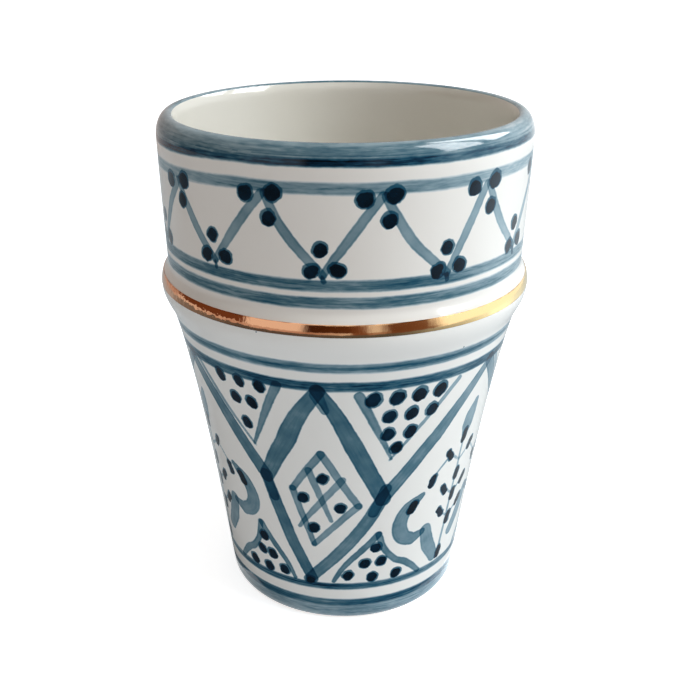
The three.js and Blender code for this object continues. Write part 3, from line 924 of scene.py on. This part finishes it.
# %% Inside, base, clay and gold
inside = coat_section(WASH_END, skin_run[-1], 1.2)
inside_glaze = turned("inside_glaze", inside, 240, WOBBLE, white_glaze)
under = smooth_line(outline_of("base_glaze"), 1.5), []
under_glaze = turned("under_glaze", under, 120, 0.0, white_glaze)
clay = smooth_line(outline_of("clay_body"), 1.5), []
thrown_clay = turned("thrown_clay", clay, 180, WOBBLE, sandy_clay)
gold_low, gold_high = (run_at(height) for height in height_of("gold_ring"))
gold = coat_section(gold_low, gold_high, 0.12, rise=0.07, depth=0.2, back_step=0.4)
gold_band = turned("gold_band", gold, 480, WOBBLE, gold_lustre, drift=0.0003)
for piece in (inside_glaze, under_glaze, thrown_clay, gold_band):
    keep_mesh(piece)

# %% [markdown]
# ## What each piece stands for
# Every coat rides on the cup's one body. It stands for the solids whose place it takes, so that they are
# no longer shown.

# %% Hand the pieces over
stands_for = {
    neck_glaze: ("white_glaze", [
        "lip_wash", "rim_line", "frieze_top_band", "frieze_zigzag",
        "frieze_base_band_upper", "frieze_base_band_lower"]),
    wall_glaze: ("white_glaze", [
        "outer_glaze", "shoulder_band_upper", "shoulder_band_lower", "lozenge_zigzag",
        "lozenge_point_1", "lozenge_point_2", "lozenge_point_3", "foot_line", "foot_band"]),
    inside_glaze: ("white_glaze", ["inner_glaze"]),
    under_glaze: ("white_glaze", ["base_glaze"]),
    thrown_clay: ("earthenware", ["clay_body"]),
    gold_band: ("gold_lustre", ["gold_ring"]),
}
for piece, (finish, nodes) in stands_for.items():
    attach(piece, "root")
    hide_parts(*nodes)
print("pieces:", [piece.name for piece in stands_for])

# %% [markdown]
# ## Stage and light
# The cup stands on a white sheet by a window on its right, in a pale room. The sheet is lifted to pure
# white for the eye, and keeps the cup's soft shadow. The window's two panes are soft, cool lamps side by
# side, and the room sends back a warmer light. Lamps would show in the gold as hard squares, so mirror
# rays don't see them, and the next step gives those rays something else to look at.

# %% White room
AMBIENT = 0.385
ROOM_LIGHT = (1.0, 0.91, 0.83, 1)
WHITE = (1, 1, 1, 1)


def white_for_the_eye(tree):
    """1 for camera rays, mirror rays and rays through glass, 0 for the light that falls on the cup."""
    path = add(tree, "ShaderNodeLightPath").outputs
    seen = calc(tree, "MAXIMUM", path["Is Camera Ray"], path["Is Glossy Ray"])
    return calc(tree, "MAXIMUM", seen, path["Is Transmission Ray"])


world = bpy.data.worlds.new("white room")
world.use_nodes = True
bpy.context.scene.world = world
tree = world.node_tree
eye = white_for_the_eye(tree)
background = tree.nodes["Background"].inputs
tree.links.new(ranged(tree, eye, 0, 1, AMBIENT, 1.0).outputs["Result"], background["Strength"])
tree.links.new(mixed(tree, eye, ROOM_LIGHT, WHITE), background["Color"])
print("world:", world.name, "ambient:", AMBIENT)

# %% White sheet
PAPER_REACH, PAPER_HEIGHT = 4, -5e-5    # metres
PAPER_GLOW = 0.73
square = ((-1, -1), (1, -1), (1, 1), (-1, 1))
mesh = bpy.data.meshes.new("floor")
mesh.from_pydata([(x * PAPER_REACH, y * PAPER_REACH, PAPER_HEIGHT) for x, y in square], [], [(0, 1, 2, 3)])
floor = in_scene("floor", mesh)
paper, tree, shader = begin_material("white paper", 0.9, specular=0.0)
shader["Base Color"].default_value = colour("#EEF3F9")
shader["Emission Color"].default_value = WHITE
glow = calc(tree, "MULTIPLY", white_for_the_eye(tree), PAPER_GLOW)
tree.links.new(glow.outputs[0], shader["Emission Strength"])
mesh.materials.append(paper)
print("sheet in metres:", list(floor.dimensions))

# %% Window
CUP_MIDDLE = Vector((0, 0, 0.06))


def pane(name, turn, height, distance, size, power):
    """One pane of the window: a soft lamp at that angle round the cup, aimed at it."""
    lamp = bpy.data.lights.new(name, "AREA")
    lamp.shape, lamp.size, lamp.size_y, lamp.energy = "RECTANGLE", *size, power
    lamp.color = (0.91, 0.975, 1.0)
    made = in_scene(name, lamp)
    made.location = round_the_cup(turn, distance, height)
    made.rotation_euler = (made.location - CUP_MIDDLE).to_track_quat("Z", "Y").to_euler()
    made.visible_glossy = False
    return made


window = [
    pane("window_near", 68, 1.0, 1.2, (0.75, 0.5), 9.8),
    pane("window_far", 88, 1.1, 1.2, (0.5, 0.8), 11.2),
]
print("lamps:", [lamp.name for lamp in window])

# %% [markdown]
# ## What the glaze and the gold mirror
# A photographer hangs dark cloth and grey card where glaze and metal would mirror too much white. This ring
# of card stands round the cup and lies on the table, and only reflections see it. It keeps the paint deep.
# Its paler and darker parts are the streaks in the gold, and its dark parts are brown cloth, which makes
# the gold's dark streaks red-brown. Two bright panes in it are the white patches on the lip.

# %% Tones of the card
# For each angle round the cup: the tone of the wall, and of the table far off, halfway and near.
CARD_TONES = {
    -180: (0.6, 0.6, 0.5, 0.5), -170: (0.6, 0.6, 0.5, 0.5), -125: (0.5, 0.5, 0.5, 0.5),
    -110: (0.14, 0.7, 0.25, 0.25), -62: (0.16, 0.5, 0.12, 0.12), -56: (0.85, 0.6, 0.12, 0.12),
    -26: (0.85, 0.5, 0.12, 0.12), -20: (0.05, 0.4, 0.12, 0.12), 2: (0.1, 0.65, 0.12, 0.12),
    6: (0.14, 0.2, 0.12, 0.12), 11: (0.2, 0.2, 0.12, 0.12), 16: (0.75, 0.4, 0.12, 0.12),
    21: (0.65, 0.4, 0.12, 0.12), 28: (0.14, 0.16, 0.12, 0.12), 50: (0.2, 0.2, 0.4, 0.35),
    62: (1.4, 1.4, 0.6, 0.45), 80: (1.4, 1.4, 1.0, 0.6), 93: (1.4, 1.4, 1.6, 0.7),
    107: (1.4, 1.4, 1.6, 0.7), 120: (1.3, 1.3, 1.2, 0.65), 135: (1.0, 1.2, 0.9, 0.6),
    160: (0.8, 1.2, 0.6, 0.5), 180: (0.6, 0.6, 0.5, 0.5),
}
print("angles with a tone:", len(CARD_TONES))

# %% Card that only reflections see
NEAR, HALFWAY, FAR = (0.03, 0.15), (0.22, 0.48), (0.55, 1.98)    # metres from the axis
CARD_HEIGHT = 5e-4
WALL_REACH, WALL_FOOT, WALL_TOP = 2.0, 1e-3, 0.9
TABLE_SHADE = (0.86, 0.95, 1.0)
BROWN_CLOTH = (1.0, 0.36, 0.12)


def cloth(tone):
    """The colour of the far card: brown cloth where it is dark, and white card where it is pale."""
    pale = min(1, max(0, (tone - 0.1) / 0.6))
    return [tone * (brown + (1 - brown) * pale) for brown in BROWN_CLOTH]


corners, faces, tones = [], [], []
for i, (turn, (wall, far, halfway, near)) in enumerate(CARD_TONES.items()):
    strip = [(reach, CARD_HEIGHT, [tone * c for c in TABLE_SHADE])
             for ends, tone in ((NEAR, near), (HALFWAY, halfway)) for reach in ends]
    strip += [(reach, CARD_HEIGHT, cloth(far)) for reach in FAR]
    strip += [(WALL_REACH, height, cloth(wall)) for height in (WALL_FOOT, WALL_TOP)]
    corners += [round_the_cup(turn, reach, height) for reach, height, _ in strip]
    tones += [shade + [1] for _, _, shade in strip]
    steps = len(strip)
    if i:
        faces += [(steps * (i - 1) + k, steps * i + k, steps * i + k + 1, steps * (i - 1) + k + 1)
                  for k in range(steps - 1)]
print("parts of card:", len(faces))

# %% Window panes that only reflections see
PANE_TONE = 17.0
PANE_REACH = 1.9    # metres
PANES = ((63, 93, 0.85, 3.2), (102, 125, 0.85, 3.8))    # first and last angle, low and high edge
for first, last, low, high in PANES:
    faces.append(tuple(range(len(corners), len(corners) + 4)))
    corners += [round_the_cup(turn, PANE_REACH, height)
                for turn, height in ((first, low), (last, low), (last, high), (first, high))]
    tones += 4 * [[PANE_TONE, PANE_TONE, PANE_TONE, 1]]
mesh = bpy.data.meshes.new("card")
mesh.from_pydata(corners, [], faces)
mesh.attributes.new("tone", "FLOAT_COLOR", "POINT").data.foreach_set("color", np.ravel(tones))
card = in_scene("card", mesh)
grey_card, tree, shader = begin_material("grey card", 1.0, specular=0.0)
shader["Base Color"].default_value = colour("#000000")
shader["Emission Strength"].default_value = 1.0
tone = add(tree, "ShaderNodeAttribute", {"attribute_name": "tone"})
tree.links.new(tone.outputs["Color"], shader["Emission Color"])
mesh.materials.append(grey_card)
card.visible_camera = card.visible_diffuse = card.visible_shadow = card.visible_transmission = False
print("parts of card and panes:", len(faces))
